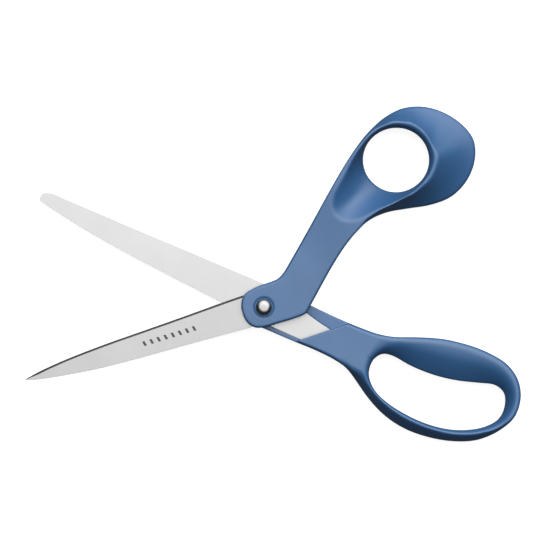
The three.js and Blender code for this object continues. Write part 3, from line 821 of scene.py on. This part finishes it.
for name, rows, materials, turn in (
    ("thumb_blade", THUMB_BLADE_OUTLINE, [THUMB_STEEL, THUMB_BEVEL_PAINTED_SHADE], HALF_OPEN),
    ("finger_blade", FINGER_BLADE_OUTLINE, [FINGER_STEEL, FINGER_BEVEL_PAINTED_SHADE], -HALF_OPEN),
):
    skin, bevelled = blade_blank(rows)
    if name == "finger_blade":
        skin.flipped()
    piece = mesh_piece(name + "_ground", skin.points, skin.faces, materials, turn, BLADE_CREASE)
    # The ground bevel's faces take the steel with painted shade.
    for i in bevelled:
        piece.data.polygons[i].material_index = 1
    dress(piece, name, "blade_steel")

wave_lift = WAVE_TOP - WAVE_LOW - WAVE_THICKNESS
wave_washer = washer_skin(WAVE_WASHER_RADIUS, WAVE_LOW, WAVE_THICKNESS, wave_lift, WAVES)
flat_washer = washer_skin(FLAT_WASHER_RADIUS, FLAT_LOW, FLAT_TOP - FLAT_LOW)

for name, skin, material, slot in (
    ("pivot_bolt", bolt_skin(), BRIGHT_STEEL, "bright_steel"),
    ("pivot_nut", nut_skin(), BRIGHT_STEEL, "bright_steel"),
    ("wave_washer", wave_washer, SPRING_STEEL, "spring_steel"),
    ("flat_washer", flat_washer, SPRING_STEEL, "spring_steel"),
):
    piece = mesh_piece(name + "_turned", skin.points, skin.faces, [material], crease=TURNED_CREASE)
    dress(piece, name, slot)

# ---- Floor, light and camera, in metres ----
FLOOR_HALF = 4.0
FLOOR_CELLS = 8
FLOOR_CLOUD = 3
FLOOR_GLOW = 0.85
GLOW_DIRECTION = Vector((0.065, 0.763, 0.643)).normalized()
GLOW_EDGES = (0.5, 0.97)  # cosines of the angles from its middle where the glow ends and where it is full
GLOW_STRENGTH = 3.6
SKY_DARK = (0.02, 0.02, 0.022)
CAMERA_TURN = math.radians(4.35)
CAMERA_SIDE = 0.00454  # middle of the picture from the pivot, along the picture's width
CAMERA_RISE = 0.0131  # the same, along its height
CAMERA_HEIGHT = 1.4  # above the meeting plane
CAMERA_REACH = 50.0
PICTURE_WIDTH = 0.2231  # what the picture spans in the meeting plane
SENSOR_WIDTH = 36.0  # in millimetres


def floor_material():
    material, tree, surface = new_material("studio_floor")
    cloud = noise(tree, place_on(tree), FLOOR_CLOUD)
    feed(tree, surface, {
        "Base Color": tinted(tree, cloud, grey(0.34), grey(0.36)),
        "Roughness": 0.9,
        "Specular IOR Level": 0.0,
        "Emission Color": (1, 1, 1, 1),
        "Emission Strength": FLOOR_GLOW,
    })
    return material


def floor_mesh():
    mesh = bpy.data.meshes.new("studio_floor")
    steps = np.linspace(-FLOOR_HALF, FLOOR_HALF, FLOOR_CELLS + 1)
    points = [(x, y, 0) for y in steps for x in steps]
    row = FLOOR_CELLS + 1
    faces = [(k, k + 1, k + row + 1, k + row)
             for j in range(FLOOR_CELLS) for k in range(j * row, j * row + FLOOR_CELLS)]
    mesh.from_pydata(points, [], faces)
    mesh.materials.append(floor_material())
    return mesh


floor = bpy.data.objects.new("studio_floor", floor_mesh())
bpy.context.scene.collection.objects.link(floor)
floor.visible_diffuse = False  # it sends no light back up, so that the steep walls stay dark
floor.visible_glossy = False


def panel(name, place, target, size, radiance):
    """A square soft light that faces its target; radiance is its brightness in a mirror."""
    light = bpy.data.lights.new(name, "AREA")
    light.size = size
    light.energy = radiance * math.pi * size**2
    lamp = bpy.data.objects.new(name, light)
    lamp.location = place
    lamp.rotation_euler = (Vector(target) - Vector(place)).to_track_quat("-Z", "Y").to_euler()
    bpy.context.scene.collection.objects.link(lamp)


panel("overhead_light", place=(0.1, 0.3, 1.7), target=(0, 0, 0), size=1.5, radiance=2.27)


def sky():
    """Dark but for a wide glow beyond the top of the picture."""
    world = bpy.data.worlds.new("studio_sky")
    world.use_nodes = True
    tree = world.node_tree
    direction = node(tree, "ShaderNodeTexCoord").outputs["Generated"]
    toward = node(tree, "ShaderNodeVectorMath", {0: direction, 1: GLOW_DIRECTION},
                  operation="DOT_PRODUCT")
    feed(tree, tree.nodes["Background"], {
        "Color": tinted(tree, toward.outputs["Value"], SKY_DARK, grey(1), GLOW_EDGES),
        "Strength": GLOW_STRENGTH,
    })
    bpy.context.scene.world = world


sky()
bpy.context.scene.view_settings.view_transform = "Standard"

lens = bpy.data.cameras.new("camera")
lens.sensor_width = SENSOR_WIDTH
lens.lens = SENSOR_WIDTH * CAMERA_HEIGHT / PICTURE_WIDTH
lens.clip_end = CAMERA_REACH
camera = bpy.data.objects.new("camera", lens)
aim = Matrix.Rotation(CAMERA_TURN, 4, "Z")
camera.matrix_world = aim @ Matrix.Translation((CAMERA_SIDE, CAMERA_RISE, CAMERA_HEIGHT + MIDDLE * MM))
bpy.context.scene.collection.objects.link(camera)
bpy.context.scene.camera = camera
